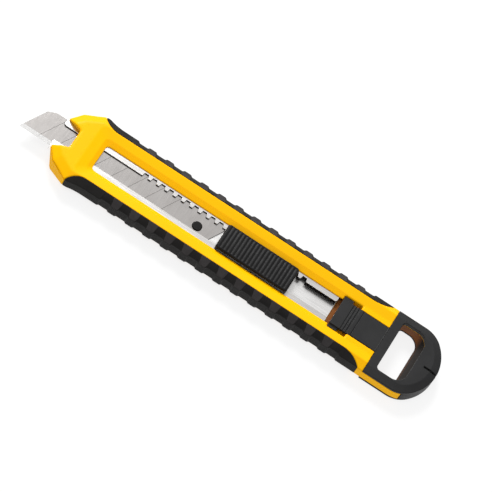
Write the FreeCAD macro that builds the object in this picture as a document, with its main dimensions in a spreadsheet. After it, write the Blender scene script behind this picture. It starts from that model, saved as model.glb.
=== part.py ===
import FreeCAD, Part
import math
import os
from types import SimpleNamespace

import Sketcher

# Snap-off utility knife for 18 mm blades, in millimetres.
# Frame: +X runs from the blade towards the tail, +Z out of the slider's face, and the origin lies on
# the flat back, at the middle of the 224.5 mm handle. +Y is the side that carries the lock rack.

SIZES = {
    # handle
    "body_length": 224.5,  # nose of the head to the end of the cap
    "body_half": 20.8,  # half the width along the grips
    "flare_rise": 1.55,  # how far the head's shoulder stands out beyond the grips
    "facet_run": 4.5,  # width of the facet between the top face and the side walls
    "bevel_run": 4.8,  # width of the bevel between the side walls and the flat back
    "ridge_height": 10.7,  # where the top face breaks down to the facet
    "edge_height": 8.4,  # top of the side walls
    "parting_height": 7.75,  # between the two shells
    "side_base": 2.1,  # foot of the side walls, above the flat back
    # head
    "notch_depth": 8.2,
    "notch_half": 5.9,
    "mouth_half": 8.9,
    "prong_half": 9.5,
    "prong_land": 1.0,  # width of the top face at a prong's tip
    "nose_facet": 4.7,  # length of the facet from the nose up to the top face
    "nose_lip": 7.1,  # where the nose's underside starts to sweep back
    "nose_bevel": 6.2,  # how far it is swept back
    "chin_setback": 4.9,
    "chin_inset": 5.95,
    "chin_facet_run": 3.1,
    "chin_facet_width": 4.2,
    "shoulder_setback": 15.0,
    "shoulder_length": 2.2,
    "shoulder_drop": 0.2,
    "shoulder_facet_run": 1.0,
    "flare_length": 9.0,
    "flare_radius": 27.0,
    "crown_rise": 0.7,  # how far the top face widens at the shoulder
    "crown_radius": 108.0,
    "bridge_length": 15.3,  # from the notch to the window
    "boss_setback": 8.0,  # the boss that holds the blade holder, ahead of the window
    "boss_diameter": 4.0,
    # window
    "window_height": 8.05,  # the window's edge
    "window_corner": 2.0,
    "slope_run": 3.1,  # width of the steep slope, from the window's edge to the crease
    "crease_height": 9.6,  # foot of the shallow slope
    "crease_setback": 2.5,
    "crease_corner": 3.0,
    "crown_corner": 4.0,
    "tray_run": 3.0,  # the slant at the steep slope's rear end
    # steel blade holder, a lipped channel
    "holder_lead": 0.5,  # how far it stands out of the nose
    "holder_setback": 2.25,  # from its rear end to the latch
    "holder_base": 3.9,
    "sheet_metal": 0.7,
    "side_play": 0.15,  # between the blade and the channel's sides
    "lip_half": 5.25,  # half the gap between the lips
    "lip_top": 7.6,
    "lip_corner": 1.2,
    "rack_setback": 48.45,
    "rack_end": 18.0,  # the least plain length behind the last notch
    "rack_pitch": 4.98,
    "rack_depth": 2.2,
    "rack_mouth": 3.2,
    "rack_root": 2.3,
    # blade
    "blade_width": 18.0,
    "blade_thickness": 0.5,
    "blade_length": 108.0,
    "blade_slant": 64.5,  # degrees from the cutting edge
    "blade_bevel": 2.3,
    "edge_half": 0.02,  # half the thickness left at the cutting edge
    "tip_corner": 2.2,
    "segment": 10.0,
    "segment_count": 8,
    "score_width": 0.2,
    "score_depth": 0.12,
    "hole_from_rear": 6.2,
    "hole_offset": 1.8,  # towards the cutting edge
    # slider
    "slider_length": 42.2,
    "slider_half": 7.9,
    "slider_clearance": 0.4,  # between the slider and the window's edge
    "slider_top": 10.9,
    "slider_corner": 1.6,
    "slider_rim": 0.8,
    "neck_inset": 2.0,
    "rib_pitch": 2.09,
    "rib_margin": 2.2,  # the least plain length at each end of the ribs
    "rib_gap": 0.9,
    "rib_depth": 0.6,
    "rib_half": 7.0,
    "carrier_lead": 20.0,  # from the carrier's front to the slider's
    "carrier_length": 60.0,
    "carrier_thickness": 1.0,
    "carrier_corner": 1.5,
    "pin_lead": 13.0,  # from the blade pin to the slider's front
    "pin_diameter": 5.4,
    "pin_stem": 3.2,
    "pin_foot": 4.3,
    "rivet_diameter": 2.2,
    "rivet_head": 3.8,
    "rivet_grip": 1.4,  # how deep the rivets go into the slider
    "head_height": 0.3,
    # lock spring
    "tooth_notch": 14,  # the rack notch that the tooth rests in, counted from 0
    "tooth_offset": 0.32,  # from the slider's middle to the tooth
    "tooth_root": 2.9,
    "tooth_tip": 1.8,
    "spring_reach": 12.0,
    "spring_foot": 3.1,
    "spring_crest": 4.2,
    "spring_leaf": 0.45,
    "spring_width": 1.0,
    # grips
    "grip_thickness": 2.6,
    "grip_lip_rise": 0.6,  # how far up the facet the rubber is let in deep
    "grip_front_radius": 10.3,
    "grip_setback": 2.9,  # from the cap to the grips' rear ends
    "grip_rear_radius": 16.6,
    "grip_rear_block": 10.0,  # the least plain length behind the last valley
    "valley_setback": 23.4,
    "valley_pitch": 10.43,
    "valley_mouth": 6.2,
    "valley_root": 4.8,
    "valley_depth": 0.95,
    # end cap
    "cap_length": 32.75,
    "cap_top": 9.9,
    "cap_base": 0.6,
    "cap_edge": 8.7,
    "cap_plate": 0.9,
    "cap_end_excess": 3.2,  # how much the end arc's radius exceeds half the width
    "cap_corner_radius": 14.0,
    "cap_crown": 4.0,
    "tongue_top": 7.1,
    "tongue_inset": 10.5,  # from the tongue's end to the tail
    "hole_setback": 5.0,
    "hole_length": 11.9,
    "hole_wall": 4.8,
    "hole_corner": 2.0,
    "hole_round": 6.5,
    "hole_scoop": 3.2,  # how far the hole's rear wall leans back towards the top
    "slit_length": 7.9,
    "slit_width": 1.0,
    # latch
    "latch_reach": 27.0,  # from the cap's front to the latch's
    "latch_length": 11.7,
    "latch_half": 8.25,
    "latch_base": 8.0,
    "latch_top": 9.7,
    "latch_land": 0.8,
    "latch_groove": 0.7,
    "latch_groove_depth": 0.5,
    "latch_groove_pitch": 1.6,
    "latch_groove_count": 3,
    "latch_tongue_half": 8.1,
    "ear_length": 5.25,
    "ear_half": 10.3,
    "ear_top": 8.8,
    "cavity_floor": 5.0,
    # fits
    "slack": 0.1,  # between parts that slide on or nest in each other
    "gap": 0.3,  # between parts that only pass each other
    "fit": 0.05,  # round a pin or a peg
    # pegs that join the shells
    "peg_diameter": 2.4,
    "peg_length": 3.5,
    "peg_count": 5,
    "peg_setback": 34.25,  # from the nose to the first peg
    "peg_rear_setback": 21.5,  # from the last peg to the cap
    "peg_inset": 2.3,
}


class Size:
    """A number and the sheet expression that gives it."""

    def __init__(self, value, text=None):
        self.value = value
        self.text = text or f"{value:g}"

    def __add__(self, other):
        other = as_size(other)
        return Size(self.value + other.value, f"({self.text} + {other.text})")

    def __sub__(self, other):
        other = as_size(other)
        return Size(self.value - other.value, f"({self.text} - {other.text})")

    def __mul__(self, other):
        other = as_size(other)
        return Size(self.value * other.value, f"({self.text} * {other.text})")

    def __truediv__(self, other):
        other = as_size(other)
        return Size(self.value / other.value, f"({self.text} / {other.text})")

    def __neg__(self):
        return Size(-self.value, f"(0 - {self.text})")

    def root(self):
        return Size(math.sqrt(self.value), f"sqrt({self.text})")

    def whole(self):
        """Rounded down."""
        return Size(math.floor(self.value), f"floor({self.text})")

    def cotangent(self):
        """Of an angle in degrees."""
        return Size(1 / math.tan(math.radians(self.value)), f"(1 / tan({self.text} * 1 deg))")


def as_size(number):
    return number if isinstance(number, Size) else Size(number)


doc = FreeCAD.newDocument("utility_knife")
sheet = doc.addObject("Spreadsheet::Sheet", "Sizes")
for row, (name, value) in enumerate(SIZES.items(), start=1):
    sheet.set(f"A{row}", name)
    sheet.set(f"B{row}", f"{value:g}")
    sheet.setAlias(f"B{row}", name)
doc.recompute()
s = SimpleNamespace(**{name: Size(value, f"Sizes.{name}") for name, value in SIZES.items()})
zero = Size(0)
far = Size(400)  # a reach beyond the whole object, for cuts


# ---- sketches and features ----

def new_body(label):
    body = doc.addObject("PartDesign::Body", label)
    body.Label = label
    return body


def sketch_on(body, plane, name, offset=None):
    """A sketch on one of the body's own origin planes, moved by offset along the plane's normal."""
    sketch = body.newObject("Sketcher::SketchObject", f"{body.Name}_{name}")
    support = next(f for f in body.Origin.OriginFeatures if f.Role == plane)
    sketch.AttachmentSupport = [(support, "")]
    sketch.MapMode = "FlatFace"
    if offset is not None:
        sketch.setExpression("AttachmentOffset.Base.z", offset.text)
    return sketch


def constrain(sketch, kind, *where):
    *where, value = where
    number = sketch.addConstraint(Sketcher.Constraint(kind, *where, value.value))
    sketch.setExpression(f"Constraints[{number}]", value.text)


def draw(sketch, path):
    """A closed outline. A corner is (x, y), or (x, y, radius, turn) where an arc leaves it for the
    next corner: turn is 1 for an arc that bends left and -1 for one that bends right."""
    corners = [tuple(as_size(c) for c in corner[:2]) + tuple(corner[2:]) for corner in path]
    first, starts, ends = sketch.GeometryCount, [], []
    for corner, following in zip(corners, corners[1:] + corners[:1]):
        a = FreeCAD.Vector(corner[0].value, corner[1].value, 0)
        b = FreeCAD.Vector(following[0].value, following[1].value, 0)
        if len(corner) == 2:
            sketch.addGeometry(Part.LineSegment(a, b), False)
            starts.append(1)
            ends.append(2)
            continue
        radius, turn = corner[2].value, corner[3]
        chord = b - a
        side = FreeCAD.Vector(-chord.y, chord.x, 0).normalize()
        centre = (a + b) * 0.5 + side * turn * math.sqrt(radius**2 - chord.Length**2 / 4)
        low, high = (a, b) if turn > 0 else (b, a)
        angles = [math.atan2(p.y - centre.y, p.x - centre.x) for p in (low, high)]
        circle = Part.Circle(centre, FreeCAD.Vector(0, 0, 1), radius)
        sketch.addGeometry(Part.ArcOfCircle(circle, *angles), False)
        starts.append(1 if turn > 0 else 2)
        ends.append(2 if turn > 0 else 1)
    count = len(corners)
    for i, corner in enumerate(corners):
        following = (i + 1) % count
        sketch.addConstraint(
            Sketcher.Constraint("Coincident", first + i, ends[i], first + following, starts[following])
        )
        constrain(sketch, "DistanceX", first + i, starts[i], corner[0])
        constrain(sketch, "DistanceY", first + i, starts[i], corner[1])
        if len(corner) > 2:
            constrain(sketch, "Radius", first + i, corner[2])


def draw_circle(sketch, x, y, diameter):
    x, y = as_size(x), as_size(y)
    centre = FreeCAD.Vector(x.value, y.value, 0)
    circle = sketch.addGeometry(
        Part.Circle(centre, FreeCAD.Vector(0, 0, 1), diameter.value / 2), False
    )
    constrain(sketch, "DistanceX", circle, 3, x)
    constrain(sketch, "DistanceY", circle, 3, y)
    constrain(sketch, "Diameter", circle, diameter)


def rectangle(x0, y0, x1, y1):
    return [(x0, y0), (x1, y0), (x1, y1), (x0, y1)]


def round_fronted(front, half, rear, corner):
    """A rectangle along X whose two front corners are rounded."""
    return [
        (rear, -half),
        (front + corner, -half, corner, -1),
        (front, -half + corner),
        (front, half - corner, corner, -1),
        (front + corner, half),
        (rear, half),
    ]


def mirrored(half):
    """A path on the -Y side, from tail to nose, and back along the +Y side. An arc belongs to the
    corner it leaves, so on the way back it moves to its other end."""
    back = []
    for i in range(len(half) - 1, -1, -1):
        x, y = half[i][:2]
        arc = half[i - 1][2:] if i > 0 else ()
        back.append((x, -as_size(y)) + tuple(arc))
    return half + back


def check_change(body, feature, before, grows):
    doc.recompute()
    if not feature.isValid() or not body.Shape.isValid():
        raise RuntimeError(f"{feature.Name} failed: {feature.getStatusString()}")
    change = body.Shape.Volume - before
    if (change > 1e-3) != grows or abs(change) < 1e-3:
        raise RuntimeError(f"{feature.Name} changed the volume by {change:.3f} mm3")


def volume_of(body):
    doc.recompute()
    return 0 if body.Shape.isNull() else body.Shape.Volume


def pad(body, sketch, length, name, reverse=False, both=False):
    before = volume_of(body)
    feature = body.newObject("PartDesign::Pad", f"{body.Name}_{name}")
    feature.Profile = sketch
    feature.setExpression("Length", as_size(length).text)
    feature.Reversed = reverse
    feature.SideType = "Symmetric" if both else "One side"
    check_change(body, feature, before, True)
    return feature


def pocket(body, sketch, length, name, reverse=False, both=False):
    """A cut. It goes against the sketch's normal, or along it with reverse."""
    before = volume_of(body)
    feature = body.newObject("PartDesign::Pocket", f"{body.Name}_{name}")
    feature.Profile = sketch
    feature.setExpression("Length", as_size(length).text)
    feature.Reversed = reverse
    feature.SideType = "Symmetric" if both else "One side"
    check_change(body, feature, before, False)
    return feature


def cut(body, plane, name, path, offset=None, length=far, reverse=False, both=False):
    sketch = sketch_on(body, plane, f"{name}_sketch", offset)
    draw(sketch, path)
    return pocket(body, sketch, length, name, reverse, both)


def add(body, plane, name, path, length, offset=None, reverse=False, both=False):
    sketch = sketch_on(body, plane, f"{name}_sketch", offset)
    draw(sketch, path)
    return pad(body, sketch, length, name, reverse, both)


def loft(body, kind, name, *sections):
    """A straight-sided loft between (height, path) sections."""
    before = volume_of(body)
    sketches = []
    for number, (height, path) in enumerate(sections):
        sketch = sketch_on(body, "XY_Plane", f"{name}_{number}", height)
        draw(sketch, path)
        sketches.append(sketch)
    doc.recompute()
    feature = body.newObject(f"PartDesign::{kind}", f"{body.Name}_{name}")
    feature.Profile = sketches[0]
    feature.Sections = sketches[1:]
    feature.Ruled = True
    check_change(body, feature, before, kind == "AdditiveLoft")
    return feature


def repeat(body, feature, name, pitch, count):
    """The feature again and again along +X."""
    before = volume_of(body)
    pattern = body.newObject("PartDesign::LinearPattern", f"{body.Name}_{name}")
    pattern.Originals = [feature]
    axis = next(f for f in body.Origin.OriginFeatures if f.Role == "X_Axis")
    pattern.Direction = (axis, [""])
    pattern.Mode = "Spacing"
    pattern.setExpression("Offset", pitch.text)
    pattern.setExpression("Occurrences", count.text)
    body.Tip = pattern
    doc.recompute()
    if abs(body.Shape.Volume - before) < 1e-3:
        raise RuntimeError(f"{pattern.Name} repeats nothing")
    return pattern


def round_edges(body, name, radius, chosen):
    """A fillet on the edges that the test picks, each given by its middle and its direction."""
    doc.recompute()
    names = []
    for number, edge in enumerate(body.Shape.Edges, start=1):
        middle = edge.valueAt((edge.FirstParameter + edge.LastParameter) / 2)
        if len(edge.Vertexes) < 2:
            continue
        run = edge.Vertexes[1].Point - edge.Vertexes[0].Point
        if run.Length > 1e-6 and chosen(middle, run.normalize()):
            names.append(f"Edge{number}")
    if not names:
        raise RuntimeError(f"{body.Name}_{name} found no edge")
    base = body.Tip
    feature = body.newObject("PartDesign::Fillet", f"{body.Name}_{name}")
    feature.Base = (base, names)
    feature.setExpression("Radius", radius.text)
    doc.recompute()
    if not feature.isValid():
        raise RuntimeError(f"{feature.Name} failed: {feature.getStatusString()}")
    return feature


def near(a, b, within=0.05):
    return abs(a - b) < within


# ---- places that several parts share ----

clear = Size(6)  # how far a cut runs past the outside
past = Size(1)  # how far a small cut starts outside its face
lap = Size(2)  # how far a feature runs into the solid that it joins
hair = Size(0.001)  # keeps an arc's end off the line that it would only touch

nose = -s.body_length / 2
tail = s.body_length / 2
flare_half = s.body_half + s.flare_rise
ridge_half = s.body_half - s.facet_run
back_half = s.body_half - s.bevel_run
chin_half = flare_half - s.chin_inset
window_half = s.slider_half + s.slider_clearance
crease_half = window_half + s.slope_run
notch_end = nose + s.notch_depth
window_front = notch_end + s.bridge_length
crease_front = window_front - s.crease_setback
chin = nose + s.chin_setback
shoulder_front = nose + s.shoulder_setback
shoulder = shoulder_front + s.shoulder_length
flare_end = shoulder + s.flare_length
boss_x = window_front - s.boss_setback

cap_start = tail - s.cap_length
tongue_end = tail - s.tongue_inset
hole_front = cap_start + s.hole_setback
hole_half = s.body_half - s.hole_wall
latch_front = cap_start - s.latch_reach
latch_hinge = latch_front + s.latch_length
latch_middle = (s.latch_base + s.latch_top) / 2
latch_root = s.latch_top - s.latch_base

holder_front = nose - s.holder_lead
holder_rear = latch_front - s.holder_setback
holder_half = s.blade_width / 2 + s.side_play + s.sheet_metal
lip_base = s.lip_top - s.sheet_metal
blade_top = lip_base - s.slack
blade_base = blade_top - s.blade_thickness
carrier_top = blade_base - s.fit
carrier_base = carrier_top - s.carrier_thickness
cavity_front = holder_rear + s.gap
cavity_half = s.ear_half + s.gap

rack_start = holder_front + s.rack_setback
rack_count = ((holder_rear - rack_start - s.rack_end) / s.rack_pitch).whole() + 1
tooth_x = rack_start + s.rack_pitch * s.tooth_notch
slider_middle = tooth_x - s.tooth_offset
slider_front = slider_middle - s.slider_length / 2
slider_rear = slider_middle + s.slider_length / 2
rib_count = ((s.slider_length - s.rib_margin * 2) / s.rib_pitch).whole() + 1
spring_base = lip_base - s.slack * 2
carrier_front = slider_front - s.carrier_lead
pin_x = slider_front - s.pin_lead
pin_top = s.parting_height - s.gap  # so that the pin passes under the head
blade_rear = pin_x + s.hole_from_rear
blade_tip = blade_rear - s.blade_length

grip_front = shoulder_front + s.fit
grip_rear = cap_start - s.grip_setback
grip_inner = s.body_half - s.grip_thickness
lip_height = s.edge_height + s.grip_lip_rise
valley_first = grip_front + s.valley_setback
valley_count = ((grip_rear - valley_first - s.grip_rear_block) / s.valley_pitch).whole() + 1

peg_first = nose + s.peg_setback
peg_pitch = (cap_start - s.peg_rear_setback - peg_first) / (s.peg_count - 1)
peg_half = ridge_half - s.peg_inset

# The tail's outline is a large end arc with a smaller arc at each corner, tangent to both.
cap_end_radius = s.body_half + s.cap_end_excess
end_centre = tail - cap_end_radius
corner_reach = cap_end_radius - s.cap_corner_radius
corner_y = s.body_half - s.cap_corner_radius
corner_x = end_centre + (corner_reach * corner_reach - corner_y * corner_y).root()
tongue_rise = tongue_end - corner_x
tongue_corner = (s.cap_corner_radius * s.cap_corner_radius - tongue_rise * tongue_rise).root()
tongue_end_half = corner_y + tongue_corner


def handle_outline(rear):
    """The handle seen from above, with the head's notch."""
    half = [
        (rear, -s.body_half),
        (flare_end, -s.body_half, s.flare_radius, 1),
        (shoulder, -flare_half),
        (shoulder_front, -flare_half + s.shoulder_drop),
        (chin, -chin_half),
        (nose, -s.prong_half),
        (nose, -s.mouth_half),
        (notch_end, -s.notch_half),
    ]
    return mirrored(half)


def handle_crown(rear):
    """The top face's border, a facet's width inside the outline, corner for corner."""
    taper = (s.mouth_half - s.notch_half) / s.notch_depth
    mouth = s.mouth_half - taper * s.nose_facet
    wide = ridge_half + s.crown_rise
    half = [
        (rear, -ridge_half),
        (flare_end, -ridge_half, s.crown_radius, 1),
        (shoulder + s.shoulder_facet_run, -wide),
        (shoulder_front + s.shoulder_facet_run, -wide),
        (chin + s.chin_facet_run, -chin_half + s.chin_facet_width),
        (nose + s.nose_facet, -mouth - s.prong_land),
        (nose + s.nose_facet, -mouth),
        (notch_end, -s.notch_half),
    ]
    return mirrored(half)


def shape_sides(body):
    """The bevels from the side walls down to the flat back."""
    slope = s.side_base / s.bevel_run
    reach = s.body_half + clear
    for side, name in ((1, "left"), (-1, "right")):
        bevel = [
            (back_half * side, zero),
            (reach * side, slope * (reach - back_half)),
            (reach * side, -clear),
            (back_half * side, -clear),
        ]
        cut(body, "YZ_Plane", f"bevel_{name}", bevel, both=True, length=far * 2)


def sweep_nose(body):
    """The swept-back underside of the nose."""
    bevel = [
        (nose, s.nose_lip),
        (nose + s.nose_bevel, zero),
        (nose + s.nose_bevel, -clear),
        (nose - clear, -clear),
        (nose - clear, s.nose_lip),
    ]
    cut(body, "XZ_Plane", "nose", bevel, both=True, length=far)


def lanyard_hole(extra, scoop=zero):
    """The hole's outline: square corners towards the blade, round ones towards the tail."""
    front, rear = hole_front - extra, hole_front + s.hole_length + scoop + extra
    half, small, large = hole_half + extra, s.hole_corner, s.hole_round
    return [
        (front + small, -half),
        (rear - large, -half, large, 1),
        (rear, -half + large),
        (rear, half - large, large, 1),
        (rear - large, half),
        (front + small, half, small, 1),
        (front, half - small),
        (front, -half + small, small, 1),
    ]


# ---- housing ----

def make_housing_back():
    """The back shell: the floor under the blade holder, the side walls and the tongue in the cap."""
    body = new_body("housing_back")
    add(body, "XY_Plane", "slab", handle_outline(cap_start), s.parting_height)
    tongue = [
        (cap_start - lap, -s.body_half),
        (corner_x, -s.body_half, s.cap_corner_radius, 1),
        (tongue_end, -tongue_end_half),
        (tongue_end, tongue_end_half, s.cap_corner_radius, 1),
        (corner_x, s.body_half),
        (cap_start - lap, s.body_half),
    ]
    tongue_base = s.cap_base + s.cap_plate + s.slack
    add(body, "XY_Plane", "tongue", tongue, s.tongue_top - tongue_base, offset=tongue_base)
    shape_sides(body)
    sweep_nose(body)
    for side, name in ((1, "left"), (-1, "right")):
        step = grip_step(side, grip_inner)
        cut(body, "XY_Plane", f"grip_{name}", step, both=True, length=far)
    above = s.ridge_height + clear
    floor = s.holder_base - s.fit
    channel = rectangle(-holder_half - s.fit, floor, holder_half + s.fit, above)
    cut(body, "YZ_Plane", "channel", channel, offset=cavity_front, length=far)
    cavity = rectangle(cavity_front - past, s.cavity_floor, hole_front, above)
    cut(body, "XZ_Plane", "cavity", cavity, both=True, length=cavity_half * 2)
    low, high = lanyard_hole(s.slack), lanyard_hole(s.slack, s.hole_scoop)
    cut(body, "XY_Plane", "lanyard", low, both=True, length=far)
    loft(body, "SubtractiveLoft", "scoop", (tongue_base, low), (s.tongue_top, high))
    boss = sketch_on(body, "XY_Plane", "boss_sketch", floor)
    draw_circle(boss, boss_x, 0, s.boss_diameter)
    pad(body, boss, s.sheet_metal, "boss")
    for side, name in ((1, "left"), (-1, "right")):
        sockets = sketch_on(body, "XY_Plane", f"socket_{name}_sketch", s.parting_height)
        draw_circle(sockets, peg_first, peg_half * side, s.peg_diameter + s.fit * 2)
        socket = pocket(body, sockets, s.peg_length + s.gap, f"socket_{name}")
        repeat(body, socket, f"sockets_{name}", peg_pitch, s.peg_count)
    return body


def grip_step(side, inner):
    """The grip's area: its round ends, cut off straight at y = inner."""
    outer = flare_half + s.gap
    front_centre_y = ridge_half + s.grip_front_radius
    rear_centre_y = ridge_half + s.grip_rear_radius
    front_centre = grip_front + run_of_arc(s.grip_front_radius, outer - ridge_half)
    rear_centre = grip_rear - run_of_arc(s.grip_rear_radius, s.body_half - ridge_half)
    front_meet = front_centre - reach_of_arc(s.grip_front_radius, front_centre_y - inner)
    rear_meet = rear_centre + reach_of_arc(s.grip_rear_radius, rear_centre_y - inner)
    out = (s.body_half + clear) * side
    return [
        (grip_front, outer * side, s.grip_front_radius, side),
        (front_meet, inner * side),
        (rear_meet, inner * side, s.grip_rear_radius, side),
        (grip_rear, s.body_half * side),
        (grip_rear, out),
        (grip_front, out),
    ]


def run_of_arc(radius, depth):
    """How far along X an arc runs while it rises by depth from its lowest point."""
    return (radius * radius - (radius - depth) * (radius - depth)).root()


def reach_of_arc(radius, height):
    """How far along X an arc stands from its centre where it is height below it."""
    return (radius * radius - height * height).root()


def make_housing_top():
    """The front shell: head, rails and the sloping frame of the window."""
    body = new_body("housing_top")
    slab_height = s.edge_height - s.parting_height
    outline = handle_outline(cap_start)
    add(body, "XY_Plane", "slab", outline, slab_height, offset=s.parting_height)
    crown = (s.ridge_height, handle_crown(cap_start))
    loft(body, "AdditiveLoft", "roof", (s.edge_height, outline), crown)
    for side, name in ((1, "left"), (-1, "right")):
        step = grip_step(side, grip_inner)
        cut(body, "XY_Plane", f"grip_{name}", step, both=True, length=far)
        lip = grip_step(side, ridge_half + hair)
        cut(body, "XY_Plane", f"grip_lip_{name}", lip, offset=lip_height, reverse=True)
    rear = cap_start + lap
    shallow_run = (ridge_half - crease_half) / (s.ridge_height - s.crease_height)
    over = s.ridge_height + past
    spread = shallow_run * (over - s.crease_height)
    low = round_fronted(crease_front, crease_half, rear, s.crease_corner)
    high = round_fronted(crease_front - spread, crease_half + spread, rear, s.crown_corner)
    loft(body, "SubtractiveLoft", "shallow_tray", (s.crease_height, low), (over, high))
    over = s.crease_height + past / 2
    share = (over - s.window_height) / (s.crease_height - s.window_height)
    front, half = window_front - s.crease_setback * share, window_half + s.slope_run * share
    low = round_fronted(window_front, window_half, latch_hinge - s.tray_run, s.window_corner)
    high = round_fronted(front, half, latch_hinge, s.crease_corner)
    loft(body, "SubtractiveLoft", "steep_tray", (s.window_height, low), (over, high))
    window = round_fronted(window_front, window_half, rear, s.window_corner)
    cut(body, "XY_Plane", "window", window, both=True, length=far)
    recess_rear = latch_hinge - s.tray_run / 2
    recess = rectangle(latch_front - s.gap, -cavity_half, recess_rear, cavity_half)
    cut(body, "XY_Plane", "recess", recess, both=True, length=far)
    below = s.parting_height - past
    groove = rectangle(-cavity_half, below, cavity_half, s.ear_top + s.slack)
    cut(body, "YZ_Plane", "ear_groove", groove, offset=latch_front, length=far, reverse=True)
    for side, name in ((1, "left"), (-1, "right")):
        pegs = sketch_on(body, "XY_Plane", f"peg_{name}_sketch", s.parting_height)
        draw_circle(pegs, peg_first, peg_half * side, s.peg_diameter)
        peg = pad(body, pegs, s.peg_length, f"peg_{name}", reverse=True)
        repeat(body, peg, f"pegs_{name}", peg_pitch, s.peg_count)
    return body


def make_grip(label, side):
    """A rubber side grip: the handle's own outer skin, with finger valleys along it."""
    body = new_body(label)
    outline = handle_outline(cap_start)
    add(body, "XY_Plane", "slab", outline, s.edge_height)
    crown = (s.ridge_height, handle_crown(cap_start))
    loft(body, "AdditiveLoft", "roof", (s.edge_height, outline), crown)
    shape_sides(body)
    keep_out(body, "below_lip", grip_step(side, grip_inner), side, False)
    keep_out(body, "above_lip", grip_step(side, ridge_half + hair), side, True)
    slant = (s.valley_mouth - s.valley_root) / s.valley_depth / 2
    mouth_half = s.valley_mouth / 2 + slant * clear
    valley = [
        (valley_first - s.valley_root / 2, (s.body_half - s.valley_depth) * side),
        (valley_first + s.valley_root / 2, (s.body_half - s.valley_depth) * side),
        (valley_first + mouth_half, (s.body_half + clear) * side),
        (valley_first - mouth_half, (s.body_half + clear) * side),
    ]
    first = cut(body, "XY_Plane", "valley", valley, both=True, length=far)
    repeat(body, first, "valleys", s.valley_pitch, valley_count)
    return body


def keep_out(body, name, area, side, above):
    """Cut away all that lies outside the area, above or below the grip's lip."""
    boundary = area[:4]
    back = -far / 4 * side
    out = (s.body_half + clear) * side
    outside = [
        (grip_front, out),
        *boundary,
        (grip_rear, out),
        (far / 2, out),
        (far / 2, back),
        (-far / 2, back),
        (-far / 2, out),
    ]
    cut(body, "XY_Plane", name, outside, offset=lip_height, reverse=above)


# ---- blade and its holder ----

def make_blade_holder():
    """The steel channel: floor, sides and two lips, with the lock rack along the +Y lip."""
    body = new_body("blade_holder")
    half, wall = holder_half, s.sheet_metal
    section = [
        (-half, s.holder_base),
        (half, s.holder_base),
        (half, s.lip_top),
        (s.lip_half, s.lip_top),
        (s.lip_half, lip_base),
        (half - wall, lip_base),
        (half - wall, s.holder_base + wall),
        (-half + wall, s.holder_base + wall),
        (-half + wall, lip_base),
        (-s.lip_half, lip_base),
        (-s.lip_half, s.lip_top),
        (-half, s.lip_top),
    ]
    add(body, "YZ_Plane", "channel", section, holder_rear - holder_front, offset=holder_front)
    root = s.lip_half + s.rack_depth
    slant = (s.rack_mouth - s.rack_root) / s.rack_depth / 2
    mouth_half = s.rack_mouth / 2 + slant * past
    notch = [
        (rack_start - mouth_half, s.lip_half - past),
        (rack_start + mouth_half, s.lip_half - past),
        (rack_start + s.rack_root / 2, root),
        (rack_start - s.rack_root / 2, root),
    ]
    first = cut(body, "XY_Plane", "notch", notch, offset=s.lip_top, length=wall)
    repeat(body, first, "rack", s.rack_pitch, rack_count)
    hole = sketch_on(body, "XY_Plane", "boss_hole_sketch", s.holder_base + wall)
    draw_circle(hole, boss_x, 0, s.boss_diameter + s.fit * 2)
    pocket(body, hole, wall, "boss_hole")
    round_edges(
        body,
        "lip_ends",
        s.lip_corner,
        lambda p, d: near(abs(p.y), s.lip_half.value)
        and near(abs(d.z), 1)
        and (near(p.x, holder_front.value) or near(p.x, holder_rear.value)),
    )
    return body


def slanted(x, y):
    """Where the blade's slanted line through (x, -half width) stands at height y across the blade."""
    return x + (y + s.blade_width / 2) * s.blade_slant.cotangent()


def make_blade():
    """The snap-off blade: plate, ground edge, score lines and the hole for its pin."""
    body = new_body("blade")
    half = s.blade_width / 2
    tip_side = slanted(blade_tip, half - s.tip_corner)
    outline = [
        (blade_tip, -half),
        (blade_rear, -half),
        (slanted(blade_rear, half), half),
        (tip_side + s.tip_corner * 2, half),
        (tip_side, half - s.tip_corner),
    ]
    add(body, "XY_Plane", "plate", outline, s.blade_thickness, offset=blade_base)
    middle = blade_base + s.blade_thickness / 2
    for height, up, name in ((blade_top, 1, "upper"), (blade_base, -1, "lower")):
        bevel = [
            (-half - past, middle + s.edge_half * up),
            (-half, middle + s.edge_half * up),
            (-half + s.blade_bevel, height),
            (-half + s.blade_bevel, height + past * up),
            (-half - past, height + past * up),
        ]
        cut(body, "YZ_Plane", f"bevel_{name}", bevel, both=True, length=far * 2)
    score_x = blade_tip + s.segment
    low, high = -half - past, half + past
    score = [
        (slanted(score_x, low), low),
        (slanted(score_x, low) + s.score_width, low),
        (slanted(score_x, high) + s.score_width, high),
        (slanted(score_x, high), high),
    ]
    first = cut(body, "XY_Plane", "score", score, offset=blade_top, length=s.score_depth)
    repeat(body, first, "scores", s.segment, s.segment_count)
    hole = sketch_on(body, "XY_Plane", "hole_sketch", blade_top)
    draw_circle(hole, pin_x, -s.hole_offset, s.pin_diameter + s.slack * 2)
    pocket(body, hole, s.blade_thickness, "hole")
    return body


# ---- slider ----

def make_slider_carrier():
    """The steel strip that runs in the channel, under the blade and the button."""
    body = new_body("slider_carrier")
    half = s.blade_width / 2
    strip = rectangle(carrier_front, -half, carrier_front + s.carrier_length, half)
    add(body, "XY_Plane", "strip", strip, s.carrier_thickness, offset=carrier_base)
    holes = sketch_on(body, "XY_Plane", "holes_sketch", carrier_top)
    draw_circle(holes, pin_x, -s.hole_offset, s.pin_stem)
    for x in rivet_places():
        draw_circle(holes, x, 0, s.rivet_diameter)
    pocket(body, holes, s.carrier_thickness, "holes")
    round_edges(
        body,
        "corners",
        s.carrier_corner,
        lambda p, d: near(abs(d.z), 1) and near(abs(p.y), half.value),
    )
    return body


def rivet_places():
    return slider_front + s.slider_length / 4, slider_rear - s.slider_length / 4


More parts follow.
